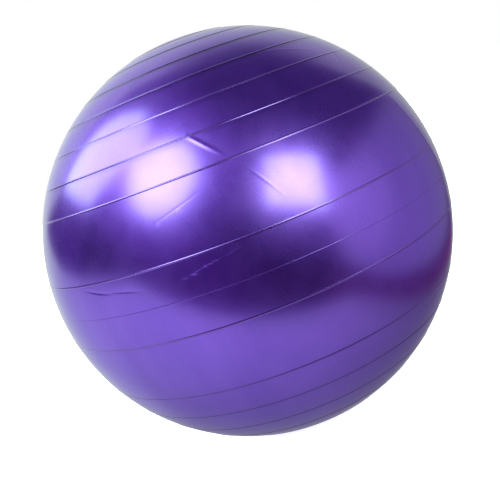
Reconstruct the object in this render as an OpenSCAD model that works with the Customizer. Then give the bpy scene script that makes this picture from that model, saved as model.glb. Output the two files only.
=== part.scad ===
// Inflatable exercise ball: a thin rotationally moulded vinyl skin with raised
// non-slip ribs that run as parallel rings round one axis, a soft valve seat
// bonded into the top pole, and a push-in plug that closes the seat.
// The ball stands on its bottom pole, at the origin. +Z is the rings' axis.

/* [Ball] */
// Diameter over the smooth bands of the inflated skin
ball_d = 650; // [450:50:850]
// Thickness of the skin
skin_t = 0.8; // [0.6:0.1:1.2]

/* [Ribs] */
// Latitude, in degrees, of the rib on each side of the parting line
first_rib_lat = 8.4; // [6:0.1:12]
// Latitude of the rib at the far edge of each wide plain band
band_edge_lat = 25; // [20:0.1:28]
// Degrees between ribs on the valve half
top_rib_pitch = 8.4; // [7.5:0.1:8.6]
// Ribs from the band edge to the top cap
top_rib_count = 7; // [3:1:7]
// Degrees between ribs on the bottom half
bottom_rib_pitch = 9.1; // [8:0.1:9.5]
// Ribs from the band edge to the bottom cap
bottom_rib_count = 6; // [3:1:6]
// Width of a rib at its foot
rib_w = 3; // [2:0.1:4]
// Height of a rib above the skin
rib_h = 0.45; // [0.3:0.05:1]
// Width of the mould's parting line at the equator
parting_w = 1.2; // [0.8:0.1:1.4]
// Height of the parting line above the skin
parting_h = 0.15; // [0.1:0.05:0.4]

/* [Valve seat] */
// Radius of the thickened boss that the skin has round the valve
boss_r = 22; // [20:1:30]
// Thickness of the boss, measured from the pole
boss_t = 4; // [3.5:0.5:6]
// Radius of the seat's neck, which fills the hole in the boss
neck_r = 11; // [10.5:0.5:13]
// Film of adhesive between the neck and the boss
bond_gap = 0.05; // [0.02:0.01:0.1]
// Radius of the flange bonded under the boss
flange_r = 16; // [14:1:19]
// Thickness of the flange
flange_t = 2; // [1.5:0.5:3]
// Outer radius of the sleeve that grips the plug
sleeve_r = 7.2; // [6:0.2:8]
// Depth of the sleeve's end below the pole
sleeve_depth = 20; // [19:1:26]
// Radius of the bore, which takes a pump nozzle when the plug is out
bore_r = 4; // [3.5:0.1:4.5]
// Depth of the recess for the plug's head
recess_depth = 1.9; // [1.5:0.1:2.2]

/* [Plug] */
// Radius of the plug's head
head_r = 9; // [8:0.1:9.2]
// Thickness of the head at its rim
head_rim_t = 1.1; // [0.8:0.1:1.2]
// Thickness of the head at its centre
head_t = 1.7; // [1.4:0.1:1.8]
// Radial clearance between the plug's barbs and the bore
plug_clearance = 0.05; // [0.02:0.01:0.1]
// Radius of the stem between the barbs
stem_r = 3.2; // [2.8:0.1:3.4]
// Number of barbs on the stem
barb_count = 3; // [2:1:4]
// Length of one barb, from its shoulder to its narrow end
barb_l = 3.2; // [2.5:0.1:3.2]
// Length of the stem below the head
stem_l = 16; // [15:0.5:17]
// Radius of the tip of the stem
tip_r = 2.2; // [1.8:0.1:2.6]

/* [Hidden] */

vinyl = [0.36, 0.24, 0.66];
seat_vinyl = [0.30, 0.20, 0.56];
plug_white = [0.93, 0.92, 0.95];

ball_fn = 180;
bead_fn = 24;
valve_fn = 96;

ball_r = ball_d / 2;
pole_z = ball_d;
// Flare of the boss's inner edge, which leaves no sharp step in the wall
boss_flare = 5;
// Room round the plug's head, and under it when it rests in the recess
head_side_gap = 0.3;
head_rest_gap = 0.05;
recess_r = head_r + head_side_gap;
// Cutting tools reach this far past the surface that they open
cut_over = 2;
barb_r = bore_r - plug_clearance;
head_bevel = 0.6;
// The cylindrical land that touches the bore at the top of each barb
barb_land = 1;
mouth_flare = 0.8;
// Distance from the underside of the head to the first barb
first_barb_drop = 1.4;

top_rib_lats = [for (i = [0 : top_rib_count - 1]) band_edge_lat + i * top_rib_pitch];
bottom_rib_lats = [for (i = [0 : bottom_rib_count - 1]) -band_edge_lat - i * bottom_rib_pitch];
rib_lats = concat([first_rib_lat, -first_rib_lat], top_rib_lats, bottom_rib_lats);

// A bead with a round crest that runs round the ball at one latitude
module bead_ring(latitude, width, height) {
    bead_r = (pow(width / 2, 2) + pow(height, 2)) / (2 * height);
    centre_r = ball_r + height - bead_r;
    translate([0, 0, ball_r + centre_r * sin(latitude)])
        rotate_extrude($fn = ball_fn)
            translate([centre_r * cos(latitude), 0])
                circle(r = bead_r, $fn = bead_fn);
}

module ball_solid(radius) {
    translate([0, 0, ball_r]) sphere(r = radius, $fn = ball_fn);
}

// A disc or tube about the ball's axis, placed by its depth below the pole
module valve_cylinder(depth_top, depth_bottom, r_top, r_bottom) {
    translate([0, 0, pole_z - depth_bottom])
        cylinder(h = depth_bottom - depth_top, r1 = r_bottom, r2 = r_top, $fn = valve_fn);
}

// The air space, which stops short under the thickened boss
module air_space() {
    difference() {
        ball_solid(ball_r - skin_t);
        valve_cylinder(-cut_over, boss_t, boss_r + boss_flare, boss_r);
    }
}

module ball_skin() {
    color(vinyl)
        difference() {
            union() {
                ball_solid(ball_r);
                bead_ring(0, parting_w, parting_h);
                for (latitude = rib_lats) bead_ring(latitude, rib_w, rib_h);
            }
            air_space();
            valve_cylinder(-cut_over, boss_t + cut_over, neck_r, neck_r);
        }
}

module valve_seat() {
    color(seat_vinyl)
        difference() {
            union() {
                intersection() {
                    ball_solid(ball_r);
                    valve_cylinder(-cut_over, boss_t, neck_r - bond_gap, neck_r - bond_gap);
                }
                valve_cylinder(boss_t, boss_t + flange_t, flange_r, flange_r);
                valve_cylinder(boss_t + flange_t, sleeve_depth, sleeve_r, sleeve_r);
            }
            valve_cylinder(-cut_over, recess_depth, recess_r, recess_r);
            valve_cylinder(recess_depth, recess_depth + mouth_flare, bore_r + mouth_flare, bore_r);
            valve_cylinder(recess_depth, sleeve_depth + cut_over, bore_r, bore_r);
        }
}

// Half section of the plug: crowned head, barbed stem and tapered tip,
// measured upwards from the underside of the head
function barb_points(i) =
    let (shoulder = -first_barb_drop - i * barb_l)
    [[stem_r, shoulder], [barb_r, shoulder], [barb_r, shoulder - barb_land],
     [stem_r, shoulder - barb_l + barb_land / 2]];

module valve_plug() {
    last_barb_end = -first_barb_drop - barb_count * barb_l;
    section = concat(
        [[0, head_t], [head_r - head_bevel, head_rim_t + head_bevel / 2],
         [head_r, head_rim_t], [head_r, 0], [stem_r, 0]],
        [for (i = [0 : barb_count - 1]) each barb_points(i)],
        [[stem_r, last_barb_end - barb_land], [tip_r, -stem_l], [0, -stem_l]]);
    color(plug_white)
        translate([0, 0, pole_z - recess_depth + head_rest_gap])
            rotate_extrude($fn = valve_fn) polygon(section);
}

ball_skin();
valve_seat();
valve_plug();
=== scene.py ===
"""An inflated exercise ball in pearl vinyl, upright on its bottom pole, with its valve at the top pole.

All lengths are in metres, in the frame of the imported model: +Z is the axis of the ring ribs.
"""
import math

import bmesh
import bpy
import numpy as np
from mathutils import Matrix, Vector


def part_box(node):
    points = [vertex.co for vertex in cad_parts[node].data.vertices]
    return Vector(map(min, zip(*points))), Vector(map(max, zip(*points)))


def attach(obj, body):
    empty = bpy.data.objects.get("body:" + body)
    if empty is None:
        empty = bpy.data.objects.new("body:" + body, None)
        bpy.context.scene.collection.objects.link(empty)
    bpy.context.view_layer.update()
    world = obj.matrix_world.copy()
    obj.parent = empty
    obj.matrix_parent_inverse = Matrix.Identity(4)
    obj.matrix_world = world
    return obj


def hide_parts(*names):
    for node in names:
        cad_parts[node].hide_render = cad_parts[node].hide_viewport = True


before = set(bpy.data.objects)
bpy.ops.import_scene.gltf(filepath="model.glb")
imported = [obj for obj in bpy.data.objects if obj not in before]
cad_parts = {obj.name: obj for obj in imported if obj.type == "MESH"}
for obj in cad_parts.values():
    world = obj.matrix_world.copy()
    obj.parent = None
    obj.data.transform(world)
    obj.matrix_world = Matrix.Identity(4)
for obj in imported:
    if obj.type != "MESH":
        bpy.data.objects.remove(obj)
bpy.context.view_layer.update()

MM = 0.001

# ---------------------------------------------------------------- the ball's driving sizes
PARTING_H = 0.15 * MM
PARTING_W = 1.4 * MM
PARTING_SEEN_H = 0.14 * MM
SKIN_LO, SKIN_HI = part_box("ball_skin")
BALL_R = (SKIN_HI.x - SKIN_LO.x) / 2 - PARTING_H
CENTRE = Vector((0.0, 0.0, BALL_R))
POLE_Z = 2 * BALL_R
SKIN_T = 0.8 * MM

RIB_H = 0.37 * MM
FIRST_RIB_H = 0.31 * MM
RIB_W = 3.0 * MM
FIRST_RIB_LAT = 8.4
BAND_EDGE_LAT = 25.0
TOP_RIB_PITCH, TOP_RIB_COUNT = 8.4, 7
BOTTOM_RIB_PITCH, BOTTOM_RIB_COUNT = 9.1, 6

BOSS_R, BOSS_T, BOSS_FLARE = 22 * MM, 4 * MM, 5 * MM
NECK_R, BOND_GAP = 11 * MM, 0.05 * MM
BORE_R, SLEEVE_R = 4.0 * MM, 7.2 * MM
RECESS_R, RECESS_DEPTH = 9.3 * MM, 1.9 * MM
FLANGE_R, FLANGE_T = 16 * MM, 2 * MM
# The funnel at the top of the bore
FUNNEL = 0.8 * MM

STEM_R, STEM_L, TIP_R = 3.2 * MM, 16 * MM, 2.2 * MM
BARB_R, BARB_L, BARB_PITCH, BARB_COUNT = 3.95 * MM, 2.7 * MM, 3.2 * MM, 3
# The flat behind each barb's edge, the top barb below the head, and the tapered tip
BARB_FLAT, FIRST_BARB, TIP_L = 1.0 * MM, 1.4 * MM, 4.0 * MM
HEAD_R, HEAD_EDGE_T, HEAD_T, HEAD_CHAMFER = 9.0 * MM, 1.1 * MM, 1.4 * MM, 0.6 * MM
# The head's top has a shallow dish with a small pip in its middle
DISH_R, DISH_SLOPE, DISH_FLOOR_T, DISH_LIP_T = 5.2 * MM, 0.4 * MM, 1.25 * MM, 1.5 * MM
PIP_R, PIP_SLOPE, PIP_BASE_T, PIP_SIDE_T, PIP_T = 0.9 * MM, 0.3 * MM, 1.3 * MM, 1.55 * MM, 1.6 * MM

# ---------------------------------------------------------------- the view of the photograph
VIEW_DISTANCE = 3.373 * BALL_R
VIEW_ELEVATION = 9.05
# The camera is rolled, so that the upright ball's axis leans in the picture
VIEW_ROLL = -20.96
VIEW_PITCH = -1.52
VIEW_YAW = -0.17
VIEW_LENS = 47.63
SENSOR_W = 36.0


def degrees_list(start, pitch, count):
    return [start + i * pitch for i in range(count)]


def rib_latitudes():
    top = degrees_list(BAND_EDGE_LAT, TOP_RIB_PITCH, TOP_RIB_COUNT)
    bottom = degrees_list(-BAND_EDGE_LAT, -BOTTOM_RIB_PITCH, BOTTOM_RIB_COUNT)
    return [FIRST_RIB_LAT, -FIRST_RIB_LAT, *top, *bottom]


RIB_LATS = rib_latitudes()


def direction(lat, lon):
    """Unit vector from the ball's centre towards a latitude and a longitude in degrees.

    Longitude -90 faces the camera.
    """
    la, lo = math.radians(lat), math.radians(lon)
    return np.array([math.cos(la) * math.cos(lo), math.cos(la) * math.sin(lo), math.sin(la)])


# ---------------------------------------------------------------- relief of the skin
# Fold marks left from the box: two ends as (latitude, longitude), then the height, half width and
# sideways bow in mm. A positive height is a ridge and a negative one a furrow.
FOLDS = [
    ((34.1, -96.4), (26.0, -88.7), 0.38, 2.8, -0.4),
    ((26.2, -88.6), (21.4, -84.6), 0.08, 1.8, 0.0),
    ((22.4, -85.4), (13.0, -79.6), 0.11, 2.0, 0.5),
    ((17.0, -110.2), (20.8, -96.0), -0.05, 1.1, -1.0),
    ((7.4, -134.6), (5.4, -125.4), -0.34, 1.8, -1.0),
    ((5.9, -127.2), (4.4, -117.0), -0.20, 1.6, 0.5),
    ((4.3, -107.6), (4.8, -101.4), 0.26, 1.0, 0.3),
    ((4.6, -104.2), (6.0, -96.2), 0.34, 1.1, 0.6),
    ((5.8, -96.4), (6.6, -92.6), 0.24, 1.0, 0.3),
    ((41.8, -34.4), (38.2, -39.0), -0.30, 1.4, 0.0),
    ((49.4, -62.0), (42.1, -37.9), 0.10, 2.0, 2.0),
    ((9.4, -62.4), (9.9, -57.4), -0.16, 1.3, 0.5),
    ((25.2, -32.8), (-5.8, -23.0), 0.34, 2.4, -3.0),
    ((-25.4, -50.0), (-30.0, -45.4), -0.30, 1.2, 0.5),
    ((-28.4, -47.6), (-27.0, -37.2), 0.20, 1.3, 1.0),
]
# The sides that the photograph doesn't show get marks of the same kind, within these ranges
UNSEEN_FOLD_COUNT = 18
FOLD_SEED = 7
UNSEEN_LATITUDES = (-60, 62)
UNSEEN_LONGITUDES = (-12.0, 192.0)
UNSEEN_LENGTHS = (3, 9)
UNSEEN_HEIGHTS = (0.06, 0.18)
UNSEEN_HALF_WIDTHS = (1.4, 2.2)
UNSEEN_BOWS = (-2, 2)


def unseen_folds():
    rng = np.random.default_rng(FOLD_SEED)
    folds = []
    for _ in range(UNSEEN_FOLD_COUNT):
        lat, lon = rng.uniform(*UNSEEN_LATITUDES), rng.uniform(*UNSEEN_LONGITUDES)
        heading, length = rng.uniform(0, math.pi), rng.uniform(*UNSEEN_LENGTHS)
        far_lat = lat + length * math.sin(heading)
        far_lon = lon + length * math.cos(heading) / math.cos(math.radians(lat))
        height = rng.choice([-1, 1]) * rng.uniform(*UNSEEN_HEIGHTS)
        half_width, bow = rng.uniform(*UNSEEN_HALF_WIDTHS), rng.uniform(*UNSEEN_BOWS)
        folds.append(((lat, lon), (far_lat, far_lon), height, half_width, bow))
    return folds


def fold_frame(fold):
    """The fold's start, its great circle's normal, the direction along it and its length in radians."""
    start, end = direction(*fold[0]), direction(*fold[1])
    normal = np.cross(start, end)
    normal /= np.linalg.norm(normal)
    return start, normal, np.cross(normal, start), math.acos(float(start @ end))


ALL_FOLDS = [(fold, fold_frame(fold)) for fold in FOLDS + unseen_folds()]
# How far to each side of its middle line, in half widths, the mesh is made finer for a fold
FOLD_REACH = 3.2
# Below 1 a fold keeps its height nearly to its ends
FOLD_END_POWER = 0.7
# Long shallow waves of the blown skin, each as a direction, the phase in radians that it gains in
# one ball radius along it, and the height in mm
SKIN_WAVES = [
    ((0.62, 0.31, 0.72), 19.0, 0.030),
    ((-0.45, 0.80, 0.39), 24.0, 0.024),
    ((0.15, -0.66, 0.74), 31.0, 0.014),
]
# The step over the surface, in radians, from which its normals are worked out
NORMAL_STEP = 0.00012


def rib_height(lat, rib_lat, width, height):
    """Round-crested bead with a fillet at each foot; lat is an array in radians."""
    x = BALL_R * (lat - math.radians(rib_lat)) / (width / 2)
    return height * np.where(np.abs(x) < 1, (1 - x * x) ** 2, 0.0)


def fold_height(unit, fold, fold_axes):
    """Height of one fold at each unit vector, in metres."""
    _, _, height, half_width, bow = fold
    start, normal, along, span = fold_axes
    t = np.arctan2(unit @ along, unit @ start) / span
    inside = (t > 0) & (t < 1)
    s = np.clip(t, 0, 1)
    across = BALL_R / MM * (unit @ normal) - bow * 4 * s * (1 - s)
    ends = np.sin(math.pi * s) ** FOLD_END_POWER
    return np.where(inside, height * MM * ends * np.exp(-((across / half_width) ** 2)), 0.0)


def skin_radius(unit):
    """Distance of the outer surface from the ball's centre along each unit vector."""
    lat = np.arcsin(np.clip(unit[:, 2], -1, 1))
    r = np.full(len(unit), BALL_R)
    for rib_lat in RIB_LATS:
        r += rib_height(lat, rib_lat, RIB_W, FIRST_RIB_H if abs(rib_lat) < BAND_EDGE_LAT else RIB_H)
    r += rib_height(lat, 0, PARTING_W, PARTING_SEEN_H)
    for fold, fold_axes in ALL_FOLDS:
        r += fold_height(unit, fold, fold_axes)
    for way, phase, height in SKIN_WAVES:
        r += height * MM * (np.sin(phase * (unit @ np.array(way))) - 1) * np.cos(lat) ** 2
    return r


def skin_points(unit):
    return unit * skin_radius(unit)[:, None]


def skin_normals(unit):
    """Normals of the relief, from the surface a small step away on each side."""
    helper = np.where(np.abs(unit[:, 2:3]) < 0.9, [[0.0, 0.0, 1.0]], [[1.0, 0.0, 0.0]])
    east = np.cross(helper, unit)
    east /= np.linalg.norm(east, axis=1, keepdims=True)
    north = np.cross(unit, east)

    def stepped(offset):
        moved = unit + NORMAL_STEP * offset
        return skin_points(moved / np.linalg.norm(moved, axis=1, keepdims=True))

    normal = np.cross(stepped(east) - stepped(-east), stepped(north) - stepped(-north))
    return normal / np.linalg.norm(normal, axis=1, keepdims=True)


# ---------------------------------------------------------------- mesh helpers
# A profile point nearer to the axis than this, in metres, is on it
ON_AXIS = 1e-9
# A fillet takes at most this part of the profile's side
MAX_FILLET_PART = 0.49
FILLET_SEGMENTS = 5


def new_object(name, mesh, material, body):
    obj = bpy.data.objects.new(name, mesh)
    bpy.context.scene.collection.objects.link(obj)
    mesh.materials.append(material)
    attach(obj, body)
    return obj


def revolve(name, profile, segments):
    """Mesh of revolution about +Z.

    Profile points are (radius, z), and points of radius 0 close the ends.
    """
    bm = bmesh.new()
    rings = []
    for radius, z in profile:
        if radius < ON_AXIS:
            rings.append([bm.verts.new((0, 0, z))])
            continue
        angles = [2 * math.pi * i / segments for i in range(segments)]
        rings.append([bm.verts.new((radius * math.cos(a), radius * math.sin(a), z)) for a in angles])
    for lower, upper in zip(rings, rings[1:]):
        for i in range(segments):
            j = (i + 1) % segments
            corners = [lower[i % len(lower)], lower[j % len(lower)]]
            corners += [upper[j % len(upper)], upper[i % len(upper)]]
            unique = list(dict.fromkeys(corners))
            if len(unique) > 2:
                bm.faces.new(unique)
    bmesh.ops.recalc_face_normals(bm, faces=bm.faces)
    mesh = bpy.data.meshes.new(name)
    bm.to_mesh(mesh)
    bm.free()
    for polygon in mesh.polygons:
        polygon.use_smooth = True
    return mesh


def rounded(corners):
    """Profile with each corner (radius, z, fillet) rounded by an arc-like curve."""
    points = []
    count = len(corners)
    for i, (r, z, fillet) in enumerate(corners):
        here = Vector((r, z))
        if fillet <= 0 or i in (0, count - 1):
            points.append((r, z))
            continue
        before = Vector(corners[i - 1][:2]) - here
        after = Vector(corners[i + 1][:2]) - here
        start = here + before.normalized() * min(fillet, before.length * MAX_FILLET_PART)
        end = here + after.normalized() * min(fillet, after.length * MAX_FILLET_PART)
        for k in range(FILLET_SEGMENTS + 1):
            t = k / FILLET_SEGMENTS
            p = start * (1 - t) ** 2 + here * 2 * t * (1 - t) + end * t ** 2
            points.append((p.x, p.y))
    return points


# ---------------------------------------------------------------- the skin's mesh
SKIN_SEGMENTS = 240
# The widest gap between rows, in degrees
ROW_PITCH = 1.5
# Rows across one rib, as fractions of its half width
RIB_ROWS = (-1.3, -1.0, -0.82, -0.62, -0.42, -0.2, 0.0, 0.2, 0.42, 0.62, 0.82, 1.0, 1.3)
PARTING_ROWS = (-1.4, -1.0, -0.5, 0.0, 0.5, 1.0, 1.4)
INNER_SEGMENTS = 80
INNER_ROW_PITCH = 4.5
# Each long edge near a fold gets this many cuts
FOLD_CUTS = 5
# Edges shorter than this are fine enough for a fold as they are
FOLD_EDGE = 1.5 * MM
LAST_ROW_LAT = -89.2
# How much wider than a rib the band is that the folds' cuts keep clear of
RIB_CLEARANCE = 1.05
# Where the boss's flare meets the inside, as a part of the flare
BOSS_MEETS = 0.62

# How dark the painted shade is along each rib, in the order of RIB_LATS. It stands in for the shade at
# the ribs' feet and on their flanks, and is deepest towards the poles, where the ribs are seen at a slant
RIB_PAINTED_SHADES = [0.18, 0.30, 0.18, 0.35, 0.30, 0.75, 1.2, 1.3, 1.3, 0.66, 0.88, 1.1, 1.3, 1.3, 1.3]
# How dark the painted shade is along the parting line
PARTING_PAINTED_SHADE = 0.4
# The painted shade and the greyer tint of a rib, as wide as this many ribs
PAINTED_SHADE_WIDTH, TINT_WIDTH = 1.5, 1.1
# Above this latitude the painted shade lies a little below the crest, on the rib's lower side, in degrees
PAINTED_SHADE_SHIFT_FROM, PAINTED_SHADE_SHIFT = 30, 0.18


def row_latitudes():
    """Latitudes of the outer surface's rows, from the valve hole to the bottom pole."""
    hole_lat = 90 - math.degrees(math.asin(NECK_R / BALL_R))
    rib_half = math.degrees(RIB_W / 2 / BALL_R)
    parting_half = math.degrees(PARTING_W / 2 / BALL_R)
    fine = [f * parting_half for f in PARTING_ROWS]
    for rib_lat in RIB_LATS:
        fine += [rib_lat + f * rib_half for f in RIB_ROWS]
    edges = sorted([hole_lat, LAST_ROW_LAT, *fine], reverse=True)
    rows = [edges[0]]
    for upper, lower in zip(edges, edges[1:]):
        pieces = max(1, math.ceil((upper - lower) / ROW_PITCH))
        rows += [upper + (lower - upper) * k / pieces for k in range(1, pieces + 1)]
    return rows


def outer_grid(bm):
    """Rings of vertices on the unit sphere from the valve hole down, closed by one at the bottom pole."""
    rings = []
    for lat in row_latitudes():
        la = math.radians(lat)
        angles = [2 * math.pi * i / SKIN_SEGMENTS for i in range(SKIN_SEGMENTS)]
        places = [(math.cos(la) * math.cos(a), math.cos(la) * math.sin(a), math.sin(la)) for a in angles]
        rings.append([bm.verts.new(place) for place in places])
    for upper, lower in zip(rings, rings[1:]):
        for i in range(SKIN_SEGMENTS):
            j = (i + 1) % SKIN_SEGMENTS
            bm.faces.new((upper[i], lower[i], lower[j], upper[j]))
    pole = bm.verts.new((0, 0, -1))
    last = rings[-1]
    for i in range(SKIN_SEGMENTS):
        bm.faces.new((last[i], pole, last[(i + 1) % SKIN_SEGMENTS]))


def on_any_rib(unit):
    """Which unit vectors point at a rib."""
    lat = np.degrees(np.arcsin(np.clip(unit[:, 2], -1, 1)))
    half = math.degrees(RIB_W / 2 / BALL_R) * RIB_CLEARANCE
    return np.any([np.abs(lat - rib_lat) < half for rib_lat in RIB_LATS], axis=0)


def refine_folds(bm):
    """Cuts the cells near each fold finely enough to carry its shape."""
    bm.verts.ensure_lookup_table()
    unit = np.array([v.co for v in bm.verts])
    near = np.zeros(len(unit), bool)
    half_cell = math.radians(ROW_PITCH) * BALL_R / 2
    for fold, (start, normal, along, span) in ALL_FOLDS:
        reach = (fold[3] * FOLD_REACH + abs(fold[4])) * MM + half_cell
        t = np.arctan2(unit @ along, unit @ start) / span
        ends = half_cell / BALL_R / span
        near |= (np.abs(unit @ normal) * BALL_R < reach) & (t > -ends) & (t < 1 + ends)
    near &= ~on_any_rib(unit)
    marked = {v for v, hit in zip(bm.verts, near) if hit}
    edges = {e for e in bm.edges if e.verts[0] in marked and e.verts[1] in marked}
    long_edges = [e for e in edges if e.calc_length() * BALL_R > FOLD_EDGE]
    bmesh.ops.subdivide_edges(bm, edges=long_edges, cuts=FOLD_CUTS, use_grid_fill=True)


def inner_profile():
    """Section of the inside, from the hole's wall round the boss and down to the bottom pole.

    Its heights are from the ball's centre.
    """
    inner_r = BALL_R - SKIN_T
    boss_z = BALL_R - BOSS_T
    wall_top = math.sqrt(BALL_R ** 2 - NECK_R ** 2)
    meet_r = BOSS_R + BOSS_FLARE * BOSS_MEETS
    section = [(NECK_R, wall_top), (NECK_R, boss_z), (BOSS_R, boss_z)]
    first = math.degrees(math.acos(meet_r / inner_r))
    count = math.ceil((first + 90) / INNER_ROW_PITCH)
    for k in range(count + 1):
        la = math.radians(first + (-90 - first) * k / count)
        section.append((max(inner_r * math.cos(la), 0.0), inner_r * math.sin(la)))
    section[-1] = (0.0, -inner_r)
    return section


def mark_ribs(mesh, unit):
    """Writes where the outer vertices are on a rib and how dark the painted shade along it is, for the
    skin's colour.
    """
    lat = np.arcsin(np.clip(unit[:, 2], -1, 1))
    tint, dark = np.zeros(len(unit)), rib_height(lat, 0, PARTING_W, PARTING_PAINTED_SHADE)
    for rib_lat, shade in zip(RIB_LATS, RIB_PAINTED_SHADES):
        shift = PAINTED_SHADE_SHIFT if rib_lat > PAINTED_SHADE_SHIFT_FROM else 0
        dark += rib_height(lat, rib_lat - shift, RIB_W * PAINTED_SHADE_WIDTH, shade)
        if rib_lat > -BAND_EDGE_LAT:
            tint += rib_height(lat, rib_lat, RIB_W * TINT_WIDTH, 1.0)
    for name, outer in (("rib_tint", tint), ("rib_painted_shade", np.minimum(dark, 1.0))):
        values = np.zeros(len(mesh.vertices))
        values[:len(unit)] = outer
        mesh.attributes.new(name, "FLOAT", "POINT").data.foreach_set("value", values)


def build_skin(material):
    bm = bmesh.new()
    outer_grid(bm)
    refine_folds(bm)
    bm.verts.ensure_lookup_table()
    unit = np.array([v.co for v in bm.verts])
    unit /= np.linalg.norm(unit, axis=1, keepdims=True)
    points = skin_points(unit)
    normals = skin_normals(unit)
    for v, p in zip(bm.verts, points):
        v.co = p
    outer_count = len(bm.verts)
    inner = revolve("inner", inner_profile(), INNER_SEGMENTS)
    bm.from_mesh(inner)
    bpy.data.meshes.remove(inner)
    bm.verts.ensure_lookup_table()
    bmesh.ops.translate(bm, verts=bm.verts, vec=CENTRE)
    mesh = bpy.data.meshes.new("ball_skin_outer")
    bm.to_mesh(mesh)
    bm.free()
    for polygon in mesh.polygons:
        polygon.use_smooth = True
    mark_ribs(mesh, unit)
    vertex_normals = np.array([v.normal for v in mesh.vertices])
    vertex_normals[:outer_count] = normals
    mesh.normals_split_custom_set_from_vertices(vertex_normals.tolist())
    skin = new_object("ball_skin_vinyl", mesh, material, "ball")
    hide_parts("ball_skin")


# ---------------------------------------------------------------- the valve
VALVE_SEGMENTS = 96


def build_seat(material):
    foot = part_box("valve_seat")[0].z
    neck = NECK_R - BOND_GAP
    top = BALL_R + math.sqrt(BALL_R ** 2 - neck ** 2)
    recess_z = POLE_Z - RECESS_DEPTH
    flange_top = POLE_Z - BOSS_T
    flange_foot = flange_top - FLANGE_T
    corners = [
        (BORE_R, foot, 0),
        (BORE_R, recess_z - FUNNEL, 0.4 * MM),
        (BORE_R + FUNNEL, recess_z, 0.3 * MM),
        (RECESS_R, recess_z, 0.3 * MM),
        (RECESS_R, top, 0.3 * MM),
        (neck, top, 0.25 * MM),
        (neck, flange_top, 0.1 * MM),
        (FLANGE_R, flange_top, 0.2 * MM),
        (FLANGE_R, flange_foot, 0.9 * MM),
        (SLEEVE_R, flange_foot, 0.9 * MM),
        (SLEEVE_R, foot, 0.6 * MM),
        (BORE_R, foot, 0),
    ]
    mesh = revolve("valve_seat_moulded", rounded(corners), VALVE_SEGMENTS)
    seat = new_object("valve_seat_moulded", mesh, material, "ball")
    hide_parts("valve_seat")


def barb_corners(edge_z):
    """One barb from below: its taper, its flat edge and the step back to the stem."""
    return [
        (STEM_R, edge_z - BARB_L, 0.3 * MM),
        (BARB_R, edge_z - BARB_FLAT, 0.3 * MM),
        (BARB_R, edge_z, 0.12 * MM),
        (STEM_R, edge_z, 0.2 * MM),
    ]


def build_plug(material):
    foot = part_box("valve_plug")[0].z
    under = foot + STEM_L
    corners = [
        (0, foot, 0),
        (TIP_R, foot, 0.5 * MM),
        (STEM_R, foot + TIP_L, 0.3 * MM),
    ]
    for i in reversed(range(BARB_COUNT)):
        corners += barb_corners(under - FIRST_BARB - i * BARB_PITCH)
    corners += [
        (STEM_R, under, 0.3 * MM),
        (HEAD_R, under, 0.2 * MM),
        (HEAD_R, under + HEAD_EDGE_T, 0.4 * MM),
        (HEAD_R - HEAD_CHAMFER, under + HEAD_T, 0.5 * MM),
        (DISH_R + DISH_SLOPE, under + DISH_LIP_T, 0.3 * MM),
        (DISH_R, under + DISH_FLOOR_T, 0.3 * MM),
        (PIP_R + PIP_SLOPE, under + PIP_BASE_T, 0.3 * MM),
        (PIP_R, under + PIP_SIDE_T, 0.3 * MM),
        (0, under + PIP_T, 0),
    ]
    mesh = revolve("valve_plug_moulded", rounded(corners), VALVE_SEGMENTS)
    plug = new_object("valve_plug_moulded", mesh, material, "plug")
    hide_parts("valve_plug")


# ---------------------------------------------------------------- materials
# Nearly all of a noise texture's values lie between these
NOISE_LOW, NOISE_HIGH = 0.3, 0.7
VINYL_COLOURS = (0.135, 0.056, 0.44), (0.175, 0.075, 0.52)
# A rib's greyer tint, and the colour of the painted shade that is multiplied in along the ribs
RIB_TINT, PAINTED_SHADE_TINT = (0.178, 0.088, 0.42), (0.15, 0.11, 0.22)
SEAT_COLOURS = (0.085, 0.035, 0.27), (0.11, 0.045, 0.33)
PLUG_COLOURS = (0.47, 0.465, 0.48), (0.54, 0.53, 0.55)


def node_material(name):
    material = bpy.data.materials.new(name)
    material.use_nodes = True
    tree = material.node_tree
    shader = tree.nodes["Principled BSDF"]
    return material, tree, shader


def noise(tree, scale, detail, roughness=0.5, distortion=0.0, stretch=(1, 1, 1)):
    """Noise in object space; scale is in cycles per metre."""
    coords = tree.nodes.new("ShaderNodeTexCoord")
    mapping = tree.nodes.new("ShaderNodeMapping")
    mapping.inputs["Scale"].default_value = stretch
    texture = tree.nodes.new("ShaderNodeTexNoise")
    texture.inputs["Scale"].default_value = scale
    texture.inputs["Detail"].default_value = detail
    texture.inputs["Roughness"].default_value = roughness
    texture.inputs["Distortion"].default_value = distortion
    tree.links.new(coords.outputs["Object"], mapping.inputs["Vector"])
    tree.links.new(mapping.outputs["Vector"], texture.inputs["Vector"])
    return texture.outputs["Fac"]


def ramp(tree, value, colours):
    """Fades between two colours over the range of a noise."""
    node = tree.nodes.new("ShaderNodeValToRGB")
    for element, position, colour in zip(node.color_ramp.elements, (NOISE_LOW, NOISE_HIGH), colours):
        element.position = position
        element.color = (*colour, 1.0)
    tree.links.new(value, node.inputs["Fac"])
    return node.outputs["Color"]


def remap(tree, value, low, high):
    """Fades between two numbers over the range of a noise."""
    node = tree.nodes.new("ShaderNodeMapRange")
    node.inputs["From Min"].default_value = NOISE_LOW
    node.inputs["From Max"].default_value = NOISE_HIGH
    node.inputs["To Min"].default_value = low
    node.inputs["To Max"].default_value = high
    tree.links.new(value, node.inputs["Value"])
    return node.outputs["Result"]


def bumps(tree, shader, layers):
    """Chains bump nodes, each (height, distance in metres, strength)."""
    previous = None
    for height, distance, strength in layers:
        node = tree.nodes.new("ShaderNodeBump")
        node.inputs["Distance"].default_value = distance
        node.inputs["Strength"].default_value = strength
        tree.links.new(height, node.inputs["Height"])
        if previous is not None:
            tree.links.new(previous, node.inputs["Normal"])
        previous = node.outputs["Normal"]
    tree.links.new(previous, shader.inputs["Normal"])


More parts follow.
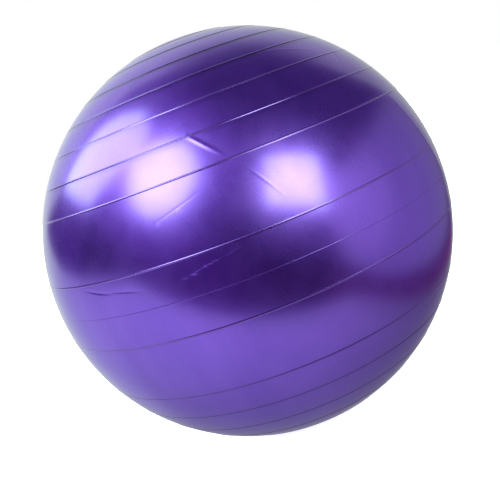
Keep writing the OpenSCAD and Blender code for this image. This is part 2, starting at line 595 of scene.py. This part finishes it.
def tinted(tree, colour, attribute, tint, mode):
    """Mixes a tint into a colour, fully where a vertex attribute is 1."""
    where = tree.nodes.new("ShaderNodeAttribute")
    where.attribute_name = attribute
    node = tree.nodes.new("ShaderNodeMix")
    node.data_type = "RGBA"
    node.blend_type = mode
    tree.links.new(where.outputs["Fac"], node.inputs["Factor"])
    colours = [s for s in node.inputs if s.type == "RGBA"]
    tree.links.new(colour, colours[0])
    colours[1].default_value = (*tint, 1.0)
    return next(s for s in node.outputs if s.type == "RGBA")


def pearl_vinyl():
    """Violet vinyl with fine pearl pigment, drawn out by the mould, under its own glossy skin."""
    material, tree, shader = node_material("pearl_vinyl")
    flow = noise(tree, 9, 4, 0.55, 0.6, (1, 1, 0.35))
    colour = ramp(tree, flow, VINYL_COLOURS)
    colour = tinted(tree, colour, "rib_tint", RIB_TINT, "MIX")
    # Painted shade along the ribs and the parting line, multiplied into the colour
    colour = tinted(tree, colour, "rib_painted_shade", PAINTED_SHADE_TINT, "MULTIPLY")
    tree.links.new(colour, shader.inputs["Base Color"])
    shader.inputs["Metallic"].default_value = 1.0
    cloudy = noise(tree, 28, 3, 0.6)
    tree.links.new(remap(tree, cloudy, 0.25, 0.30), shader.inputs["Roughness"])
    shader.inputs["Specular Tint"].default_value = (0.75, 0.72, 1.0, 1.0)
    shader.inputs["Coat Weight"].default_value = 0.4
    shader.inputs["Coat Roughness"].default_value = 0.12
    shader.inputs["Coat IOR"].default_value = 1.5
    grain = noise(tree, 1400, 2, 0.5)
    peel = noise(tree, 210, 2, 0.5)
    bumps(tree, shader, [(peel, 0.00006, 0.06), (grain, 0.00002, 0.12)])
    return material


def seat_vinyl():
    """The same vinyl as the skin, darker, duller and without pearl."""
    material, tree, shader = node_material("seat_vinyl")
    tint = ramp(tree, noise(tree, 260, 3), SEAT_COLOURS)
    tree.links.new(tint, shader.inputs["Base Color"])
    tree.links.new(remap(tree, noise(tree, 500, 3), 0.38, 0.5), shader.inputs["Roughness"])
    bumps(tree, shader, [(noise(tree, 900, 3), 0.00005, 0.25)])
    return material


def plug_plastic():
    """Pale plastic that lets a little light in."""
    material, tree, shader = node_material("plug_plastic")
    tint = ramp(tree, noise(tree, 180, 3), PLUG_COLOURS)
    tree.links.new(tint, shader.inputs["Base Color"])
    tree.links.new(remap(tree, noise(tree, 420, 3), 0.34, 0.48), shader.inputs["Roughness"])
    shader.inputs["Subsurface Weight"].default_value = 0.15
    shader.inputs["Subsurface Scale"].default_value = 0.002
    bumps(tree, shader, [(noise(tree, 1100, 3), 0.00004, 0.2)])
    return material


# ---------------------------------------------------------------- camera
def camera_axes():
    """The camera's right, up and back axes as the columns of a matrix."""
    e = math.radians(VIEW_ELEVATION)
    back = Vector((0, -math.cos(e), math.sin(e)))
    right = Vector((0, 0, 1)).cross(back).normalized()
    look = Matrix((right, back.cross(right), back)).transposed()
    turn = Matrix.Rotation(math.radians(VIEW_ROLL), 3, "Z")
    turn = turn @ Matrix.Rotation(math.radians(VIEW_PITCH), 3, "X")
    turn = turn @ Matrix.Rotation(math.radians(VIEW_YAW), 3, "Y")
    return look @ turn, CENTRE + back * VIEW_DISTANCE


def build_camera():
    axes, place = camera_axes()
    data = bpy.data.cameras.new("camera")
    data.lens = VIEW_LENS
    data.sensor_width = SENSOR_W
    camera = bpy.data.objects.new("camera", data)
    camera.matrix_world = Matrix.Translation(place) @ axes.to_4x4()
    bpy.context.scene.collection.objects.link(camera)
    bpy.context.scene.camera = camera
    return axes


# ---------------------------------------------------------------- studio
# Directions in the studio are azimuth and elevation in degrees. Azimuth 0 is behind the camera and
# 90 on its right. A way is x, y and z, along the camera's right, up and back.
# Colours are linear and may be brighter than 1.
ROOM_TOP, ROOM_BOTTOM = (0.165, 0.100, 0.235), (0.088, 0.021, 0.112)
ROOM_WAY, ROOM_SPAN = (-0.35, 0.93, 0.1), (-0.6, 0.8)
WALL_NEAR, WALL_FAR = (0.84, 0.80, 0.93), (0.36, 0.31, 0.41)
WALL_TOWARDS, WALL_SPAN = (50, 8), (0.0, 1.0)
SKIRTING = (0.25, 0.07, 0.19)
GAP = (0.20, 0.085, 0.33)
BACKDROP_LEFT, BACKDROP_RIGHT = (1.22, 1.38, 1.08), (0.74, 0.80, 0.60)
BACKDROP_WAY, BACKDROP_SPAN = (1, 0, 0), (-0.6, 0.4)
# Heights between which the backdrop fades into the sheet, and out at its top
BACKDROP_FOOT, BACKDROP_TOP = (-0.55, -0.1), (1.0, 0.79)
SHEET_FRONT, SHEET_BACK = (1.36, 1.46, 1.50), (0.34, 0.32, 0.34)
SHEET_WAY, SHEET_SPAN = (-0.45, 0, 0.89), (-0.9, 0.9)
# The sheet lies on the inner side of each plane with one of these normals
SHEET_EDGES = [(-0.06, -1, -1), (1, -3.3, -0.8), (-1, -2.1, -0.53)]
SHEET_TOP_SOFT, SHEET_EDGE_SOFT = 1.5, 3.5
WALL_SOFT, EDGE_SOFT = 6, 3
KEY_UMBRELLA = (7.2, 11.0, 7.0)
FILL_SOFTBOX = (7.2, 10.6, 6.6)
SIDE_SOFTBOX = (4.6, 6.7, 4.5)

# Each disc is its middle's azimuth and elevation, its radius and the softness of its edge
KEY_DISC = (-48, 24.5, 17.5, 4.5)
# Glows, each as a colour and a disc: on the wall, on the sheet, then on all that is there
WALL_GLOW = (0.42, 0.46, 0.36), (50, 12, 22, 16)
SHEET_GLOWS = [
    ((0.20, 0.28, 0.18), (-72, -42, 26, 22)),
    ((0.36, 0.42, 0.34), (-135, -22, 18, 16)),
]
BAND_GLOW = (0.085, 0.022, 0.115), (-27, -28, 19, 15)
KEY_GLOW = (0.46, 0.24, 0.64), (-48, 24.5, 30, 16)
FILL_GLOW = (0.24, 0.13, 0.32), (25.5, 24, 27, 14)
SIDE_GLOW = (0.20, 0.11, 0.28), (-92, 34, 29, 14)

FILL_CORNERS = [(9, 12), (41, 10), (41, 36.5), (9, 36.5)]
SIDE_CORNERS = [(-119, 13), (-91, 9), (-66, 32), (-69, 43), (-88, 50), (-107, 40)]
WALL_CORNERS = [
    (52, -14), (41, 8), (51, 31), (75, 40), (108, 45),
    (129, 43), (140, 24), (143, 6), (118, -10), (88, -19.5),
]
SKIRTING_CORNERS = [(48, -20), (150, 4), (150, -30), (48, -45)]
BACKDROP_CORNERS = [
    (162, -25), (140, 26), (128, 52), (150, 77),
    (-138, 79), (-115, 50), (-120, 30), (-122, -25),
]
GAP_CORNERS = [(-140, 2), (-118, 12), (-100, 6), (-100, -14), (-125, -7)]
SEEN_COLOUR = (1.0, 1.0, 1.0)


class Studio:
    """World shader made of soft-edged lights and walls, laid over each other in turn."""

    def __init__(self, axes):
        self.axes = axes
        world = bpy.data.worlds.new("studio")
        bpy.context.scene.world = world
        world.use_nodes = True
        self.tree = world.node_tree
        self.tree.nodes.clear()
        self.way = self.tree.nodes.new("ShaderNodeTexCoord").outputs["Generated"]
        self.colour = None

    def direction(self, azimuth, elevation):
        a, e = math.radians(azimuth), math.radians(elevation)
        return self.axes @ Vector((math.sin(a) * math.cos(e), math.sin(e), math.cos(a) * math.cos(e)))

    def put(self, value, socket):
        if isinstance(value, bpy.types.NodeSocket):
            self.tree.links.new(value, socket)
        elif isinstance(value, tuple):
            socket.default_value = (*value, 1.0)
        else:
            socket.default_value = value

    def both(self, a, b):
        node = self.tree.nodes.new("ShaderNodeMath")
        node.operation = "MULTIPLY"
        self.put(a, node.inputs[0])
        self.put(b, node.inputs[1])
        return node.outputs[0]

    def along(self, vector):
        """How far each direction points along a vector."""
        node = self.tree.nodes.new("ShaderNodeVectorMath")
        node.operation = "DOT_PRODUCT"
        node.inputs[1].default_value = vector
        self.tree.links.new(self.way, node.inputs[0])
        return node.outputs["Value"]

    def step(self, value, low, high, smooth=True):
        """0 below the low value and 1 above the high one; they may be the other way round."""
        node = self.tree.nodes.new("ShaderNodeMapRange")
        node.interpolation_type = "SMOOTHSTEP" if smooth else "LINEAR"
        node.inputs["From Min"].default_value = low
        node.inputs["From Max"].default_value = high
        self.tree.links.new(value, node.inputs["Value"])
        return node.outputs["Result"]

    def side(self, normal, soft):
        """The side of a plane through the ball that its normal points to.

        Its edge fades over soft degrees each way.
        """
        s = math.sin(math.radians(soft))
        return self.step(self.along(normal.normalized()), -s, s)

    def disc(self, azimuth, elevation, radius, soft):
        outer = math.cos(math.radians(radius + soft))
        inner = math.cos(math.radians(radius - soft))
        return self.step(self.along(self.direction(azimuth, elevation)), outer, inner)

    def patch(self, corners, soft):
        """A convex patch between directions that are listed in order round it."""
        points = [self.direction(*c) for c in corners]
        middle = sum(points, Vector()).normalized()
        mask = 1.0
        for a, b in zip(points, points[1:] + points[:1]):
            normal = a.cross(b)
            if normal.dot(middle) < 0:
                normal.negate()
            mask = self.both(mask, self.side(normal, soft))
        return mask

    def blend(self, low, high, factor, mode="MIX"):
        node = self.tree.nodes.new("ShaderNodeMix")
        node.data_type = "RGBA"
        node.blend_type = mode
        colours = [s for s in node.inputs if s.type == "RGBA"]
        self.put(low, colours[0])
        self.put(high, colours[1])
        self.put(factor, node.inputs["Factor"])
        return next(s for s in node.outputs if s.type == "RGBA")

    def lay(self, colour, mask):
        """Lays a colour over what is there, through a mask."""
        self.colour = self.blend(self.colour, colour, mask)

    def shine(self, colour, mask):
        """Adds light to what is there, through a mask."""
        self.colour = self.blend(self.colour, colour, mask, "ADD")

    def finish(self, seen_colour):
        """Lights the object with the studio, and shows the camera a plain colour."""
        nodes, links = self.tree.nodes, self.tree.links
        lit, seen = nodes.new("ShaderNodeBackground"), nodes.new("ShaderNodeBackground")
        self.put(self.colour, lit.inputs["Color"])
        self.put(seen_colour, seen.inputs["Color"])
        mix = nodes.new("ShaderNodeMixShader")
        links.new(nodes.new("ShaderNodeLightPath").outputs["Is Camera Ray"], mix.inputs[0])
        links.new(lit.outputs[0], mix.inputs[1])
        links.new(seen.outputs[0], mix.inputs[2])
        links.new(mix.outputs[0], nodes.new("ShaderNodeOutputWorld").inputs["Surface"])


def build_studio(axes):
    studio = Studio(axes)

    def sight(way):
        return axes @ Vector(way)

    def gradient(low, high, way, span):
        return studio.blend(low, high, studio.step(studio.along(way), *span, False))

    def glowing(colour, glow):
        light, disc = glow
        return studio.blend(colour, light, studio.disc(*disc), "ADD")

    studio.colour = gradient(ROOM_BOTTOM, ROOM_TOP, sight(ROOM_WAY), ROOM_SPAN)

    # the wall on the right, brighter towards the lights, and the dark skirting under it
    wall = gradient(WALL_FAR, WALL_NEAR, studio.direction(*WALL_TOWARDS), WALL_SPAN)
    studio.lay(glowing(wall, WALL_GLOW), studio.patch(WALL_CORNERS, WALL_SOFT))
    studio.lay(SKIRTING, studio.patch(SKIRTING_CORNERS, EDGE_SOFT))

    # the white sheet under the ball, cut off in front and on both sides, brightest near the key light
    sheet = studio.side(sight((0, -1, 0)), SHEET_TOP_SOFT)
    for normal in SHEET_EDGES:
        sheet = studio.both(sheet, studio.side(sight(normal), SHEET_EDGE_SOFT))
    sheet_colour = gradient(SHEET_BACK, SHEET_FRONT, sight(SHEET_WAY), SHEET_SPAN)
    for glow in SHEET_GLOWS:
        sheet_colour = glowing(sheet_colour, glow)
    studio.lay(sheet_colour, sheet)

    # the backdrop stands behind the ball and runs down into the sheet; it fades towards the top
    up = studio.along(sight((0, 1, 0)))
    fades = studio.both(studio.step(up, *BACKDROP_FOOT), studio.step(up, *BACKDROP_TOP))
    backdrop = studio.both(studio.patch(BACKDROP_CORNERS, EDGE_SOFT), fades)
    studio.lay(gradient(BACKDROP_LEFT, BACKDROP_RIGHT, sight(BACKDROP_WAY), BACKDROP_SPAN), backdrop)
    studio.lay(GAP, studio.patch(GAP_CORNERS, EDGE_SOFT))

    for light, disc in (BAND_GLOW, KEY_GLOW, FILL_GLOW, SIDE_GLOW):
        studio.shine(light, studio.disc(*disc))
    studio.lay(SIDE_SOFTBOX, studio.patch(SIDE_CORNERS, EDGE_SOFT))
    studio.lay(KEY_UMBRELLA, studio.disc(*KEY_DISC))
    studio.lay(FILL_SOFTBOX, studio.patch(FILL_CORNERS, EDGE_SOFT))
    studio.finish(SEEN_COLOUR)


# ---------------------------------------------------------------- floor and display
FLOOR_HALF = 12.0
FLOOR_WHITE, FLOOR_ROUGHNESS, FLOOR_EMISSION = 0.9, 0.9, 0.8


def build_floor():
    """White sheet that the camera sees; the studio's own sheet lights and reflects in the ball."""
    mesh = bpy.data.meshes.new("floor")
    corners = [(FLOOR_HALF * x, FLOOR_HALF * y, 0) for x, y in ((-1, -1), (1, -1), (1, 1), (-1, 1))]
    mesh.from_pydata(corners, [], [(0, 1, 2, 3)])
    material, _, shader = node_material("floor_white")
    shader.inputs["Base Color"].default_value = (FLOOR_WHITE, FLOOR_WHITE, FLOOR_WHITE, 1)
    shader.inputs["Roughness"].default_value = FLOOR_ROUGHNESS
    shader.inputs["Emission Color"].default_value = (1, 1, 1, 1)
    shader.inputs["Emission Strength"].default_value = FLOOR_EMISSION
    mesh.materials.append(material)
    floor = bpy.data.objects.new("floor", mesh)
    bpy.context.scene.collection.objects.link(floor)
    floor.visible_glossy = False
    floor.visible_diffuse = False


def set_display():
    settings = bpy.context.scene.view_settings
    settings.view_transform = "Standard"
    settings.look = "None"
    settings.exposure = 0.0
    settings.gamma = 1.0


build_skin(pearl_vinyl())
build_seat(seat_vinyl())
build_plug(plug_plastic())
build_studio(build_camera())
build_floor()
set_display()
